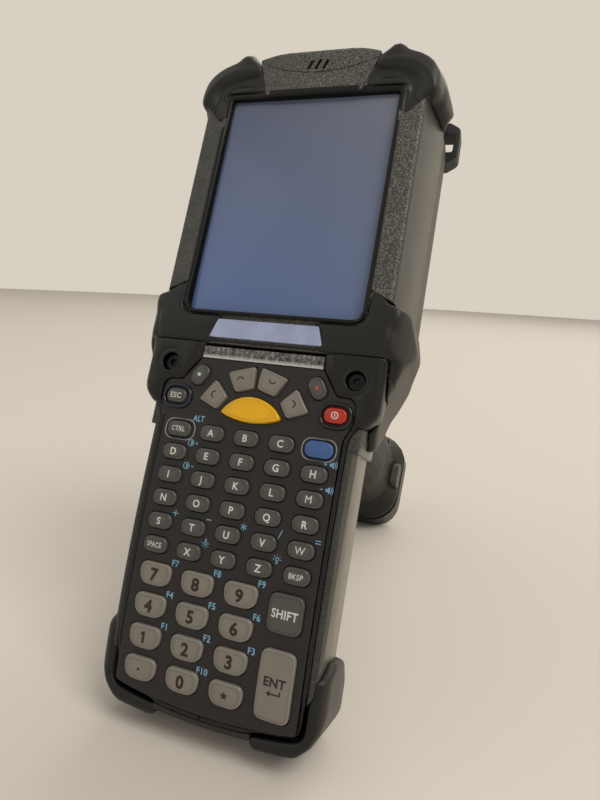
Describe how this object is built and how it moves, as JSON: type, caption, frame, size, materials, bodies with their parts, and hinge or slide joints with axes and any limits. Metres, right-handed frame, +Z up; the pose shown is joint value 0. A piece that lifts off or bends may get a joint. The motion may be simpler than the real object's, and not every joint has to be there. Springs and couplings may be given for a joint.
{
  "type": "portable barcode data terminal",
  "caption": "Rugged hand-held data terminal with a pistol grip, colour screen, curved key field, trigger, scan window and a battery that slides out of the grip.",
  "frame": {"origin": "middle of the footprint, on the surface that the terminal leans back on, resting on its lower boots and the foot of its grip", "axes": "+Z up, the screen and keys face -Y and up, +X to the right as the user reads the screen, which is the width and the shortest extent"},
  "size_m": [0.0907, 0.2138, 0.2135],
  "materials": {
    "textured_paint": "fine speckled texture, matt",
    "housing_plastic": "smooth matt moulded plastic",
    "rubber": "satin black moulded rubber",
    "gasket_rubber": "matt",
    "screen_glass": "semi-gloss touch panel",
    "sheet_metal": "satin",
    "nameplate_metal": "satin, bare",
    "black_plastic": "matt",
    "circuit_board": "solder mask",
    "cell_wrap": "shrink wrap",
    "gloss_black": "glossy",
    "plate_plastic": "satin",
    "clear_lens": "clear ribbed lens",
    "steel_screw": "black oxide",
    "bright_steel": "ground",
    "scan_glass": "dark red filter",
    "grip_plastic": "fine grain",
    "contact_brass": "plated",
    "battery_plastic": "matt",
    "yellow_key": "soft satin",
    "red_key": "soft satin",
    "blue_key": "soft satin",
    "light_key": "soft satin",
    "dark_key": "soft satin"
  },
  "bodies": {
    "terminal": {"front_housing": "textured_paint", "rear_housing": "housing_plastic", "bumper_left": "rubber", "bumper_right": "rubber", "collar": "rubber", "boot_left": "rubber", "boot_right": "rubber", "display_gasket": "gasket_rubber", "touch_panel": "screen_glass", "lcd_module": "sheet_metal", "nameplate": "nameplate_metal", "speaker": "black_plastic", "main_board": "circuit_board", "backup_battery": "cell_wrap", "keypad_frame": "gloss_black", "keypad_plate": "plate_plastic", "keypad_board": "circuit_board", "indicator_lens": "clear_lens", "led_board": "circuit_board", "keypad_screws": "steel_screw", "housing_screws": "steel_screw", "io_connector": "black_plastic", "tether_loop": "black_plastic", "scan_window": "scan_glass", "scan_engine": "sheet_metal", "grip_left": "grip_plastic", "grip_right": "grip_plastic", "grip_screws": "steel_screw", "trigger_pin": "bright_steel", "trigger_spring": "bright_steel", "trigger_switch": "black_plastic", "battery_contacts": "contact_brass"},
    "scan_key_body": {"scan_key": "yellow_key"},
    "power_key_body": {"power_key": "red_key"},
    "escape_key_body": {"escape_key": "dark_key"},
    "green_dot_key_body": {"green_dot_key": "dark_key"},
    "red_dot_key_body": {"red_dot_key": "dark_key"},
    "up_key_body": {"up_key": "light_key"},
    "down_key_body": {"down_key": "light_key"},
    "left_key_body": {"left_key": "light_key"},
    "right_key_body": {"right_key": "light_key"},
    "control_key_body": {"control_key": "dark_key"},
    "blue_key_body": {"blue_key": "blue_key"},
    "shift_key_body": {"shift_key": "dark_key"},
    "enter_key_body": {"enter_key": "light_key"},
    "keys_abc_body": {"keys_abc": "dark_key"},
    "keys_defgh_body": {"keys_defgh": "dark_key"},
    "keys_ijklm_body": {"keys_ijklm": "dark_key"},
    "keys_nopqr_body": {"keys_nopqr": "dark_key"},
    "keys_stuvw_body": {"keys_stuvw": "dark_key"},
    "keys_xyz_body": {"keys_xyz": "dark_key"},
    "keys_789_body": {"keys_789": "light_key"},
    "keys_456_body": {"keys_456": "light_key"},
    "keys_123_body": {"keys_123": "light_key"},
    "keys_point_zero_star_body": {"keys_point_zero_star": "light_key"},
    "trigger_body": {"trigger": "black_plastic"},
    "battery_body": {"battery_pack": "battery_plastic", "battery_cap": "rubber"},
    "release_left_body": {"release_left": "housing_plastic"},
    "release_right_body": {"release_right": "housing_plastic"}
  },
  "joints": [
    {"name": "scan_key_press", "type": "slide", "parent": "terminal", "child": "scan_key_body", "axis": [0, 0.9272, -0.3747], "range_m": [0, 0.0009], "stiffness_N_per_m": 400},
    {"name": "power_key_press", "type": "slide", "parent": "terminal", "child": "power_key_body", "axis": [0, 0.9272, -0.3747], "range_m": [0, 0.0009], "stiffness_N_per_m": 400},
    {"name": "escape_key_press", "type": "slide", "parent": "terminal", "child": "escape_key_body", "axis": [0, 0.9272, -0.3747], "range_m": [0, 0.0009], "stiffness_N_per_m": 400},
    {"name": "green_dot_key_press", "type": "slide", "parent": "terminal", "child": "green_dot_key_body", "axis": [0, 0.9272, -0.3747], "range_m": [0, 0.0009], "stiffness_N_per_m": 400},
    {"name": "red_dot_key_press", "type": "slide", "parent": "terminal", "child": "red_dot_key_body", "axis": [0, 0.9272, -0.3747], "range_m": [0, 0.0009], "stiffness_N_per_m": 400},
    {"name": "up_key_press", "type": "slide", "parent": "terminal", "child": "up_key_body", "axis": [0, 0.9272, -0.3747], "range_m": [0, 0.0009], "stiffness_N_per_m": 400},
    {"name": "down_key_press", "type": "slide", "parent": "terminal", "child": "down_key_body", "axis": [0, 0.9272, -0.3747], "range_m": [0, 0.0009], "stiffness_N_per_m": 400},
    {"name": "left_key_press", "type": "slide", "parent": "terminal", "child": "left_key_body", "axis": [0, 0.9272, -0.3747], "range_m": [0, 0.0009], "stiffness_N_per_m": 400},
    {"name": "right_key_press", "type": "slide", "parent": "terminal", "child": "right_key_body", "axis": [0, 0.9272, -0.3747], "range_m": [0, 0.0009], "stiffness_N_per_m": 400},
    {"name": "control_key_press", "type": "slide", "parent": "terminal", "child": "control_key_body", "axis": [0, 0.9272, -0.3747], "range_m": [0, 0.0009], "stiffness_N_per_m": 400},
    {"name": "blue_key_press", "type": "slide", "parent": "terminal", "child": "blue_key_body", "axis": [0, 0.9272, -0.3747], "range_m": [0, 0.0009], "stiffness_N_per_m": 400},
    {"name": "shift_key_press", "type": "slide", "parent": "terminal", "child": "shift_key_body", "axis": [0, 0.9508, -0.3098], "range_m": [0, 0.0009], "stiffness_N_per_m": 400},
    {"name": "enter_key_press", "type": "slide", "parent": "terminal", "child": "enter_key_body", "axis": [0, 0.9626, -0.2709], "range_m": [0, 0.0009], "stiffness_N_per_m": 400},
    {"name": "keys_abc_press", "type": "slide", "parent": "terminal", "child": "keys_abc_body", "axis": [0, 0.9272, -0.3747], "range_m": [0, 0.0009], "stiffness_N_per_m": 400},
    {"name": "keys_defgh_press", "type": "slide", "parent": "terminal", "child": "keys_defgh_body", "axis": [0, 0.9272, -0.3747], "range_m": [0, 0.0009], "stiffness_N_per_m": 400},
    {"name": "keys_ijklm_press", "type": "slide", "parent": "terminal", "child": "keys_ijklm_body", "axis": [0, 0.9279, -0.3728], "range_m": [0, 0.0009], "stiffness_N_per_m": 400},
    {"name": "keys_nopqr_press", "type": "slide", "parent": "terminal", "child": "keys_nopqr_body", "axis": [0, 0.9334, -0.3589], "range_m": [0, 0.0009], "stiffness_N_per_m": 400},
    {"name": "keys_stuvw_press", "type": "slide", "parent": "terminal", "child": "keys_stuvw_body", "axis": [0, 0.9386, -0.3449], "range_m": [0, 0.0009], "stiffness_N_per_m": 400},
    {"name": "keys_xyz_press", "type": "slide", "parent": "terminal", "child": "keys_xyz_body", "axis": [0, 0.9437, -0.3308], "range_m": [0, 0.0009], "stiffness_N_per_m": 400},
    {"name": "keys_789_press", "type": "slide", "parent": "terminal", "child": "keys_789_body", "axis": [0, 0.9495, -0.3139], "range_m": [0, 0.0009], "stiffness_N_per_m": 400},
    {"name": "keys_456_press", "type": "slide", "parent": "terminal", "child": "keys_456_body", "axis": [0, 0.9554, -0.2955], "range_m": [0, 0.0009], "stiffness_N_per_m": 400},
    {"name": "keys_123_press", "type": "slide", "parent": "terminal", "child": "keys_123_body", "axis": [0, 0.9609, -0.2769], "range_m": [0, 0.0009], "stiffness_N_per_m": 400},
    {"name": "keys_point_zero_star_press", "type": "slide", "parent": "terminal", "child": "keys_point_zero_star_body", "axis": [0, 0.9661, -0.2583], "range_m": [0, 0.0009], "stiffness_N_per_m": 400},
    {"name": "trigger_pull", "type": "hinge", "parent": "terminal", "child": "trigger_body", "pos_m": [0, -0.01117, 0.10732], "axis": [-1, 0, 0], "range_deg": [0, 8], "stiffness_Nm_per_rad": 0.5},
    {"name": "battery_slide", "type": "slide", "parent": "terminal", "child": "battery_body", "axis": [0, 0.8191, -0.5736], "range_m": [0, 0.104]},
    {"name": "release_left_press", "type": "slide", "parent": "terminal", "child": "release_left_body", "axis": [1, 0, 0], "range_m": [0, 0.0012], "stiffness_N_per_m": 600},
    {"name": "release_right_press", "type": "slide", "parent": "terminal", "child": "release_right_body", "axis": [-1, 0, 0], "range_m": [0, 0.0012], "stiffness_N_per_m": 600}
  ]
}
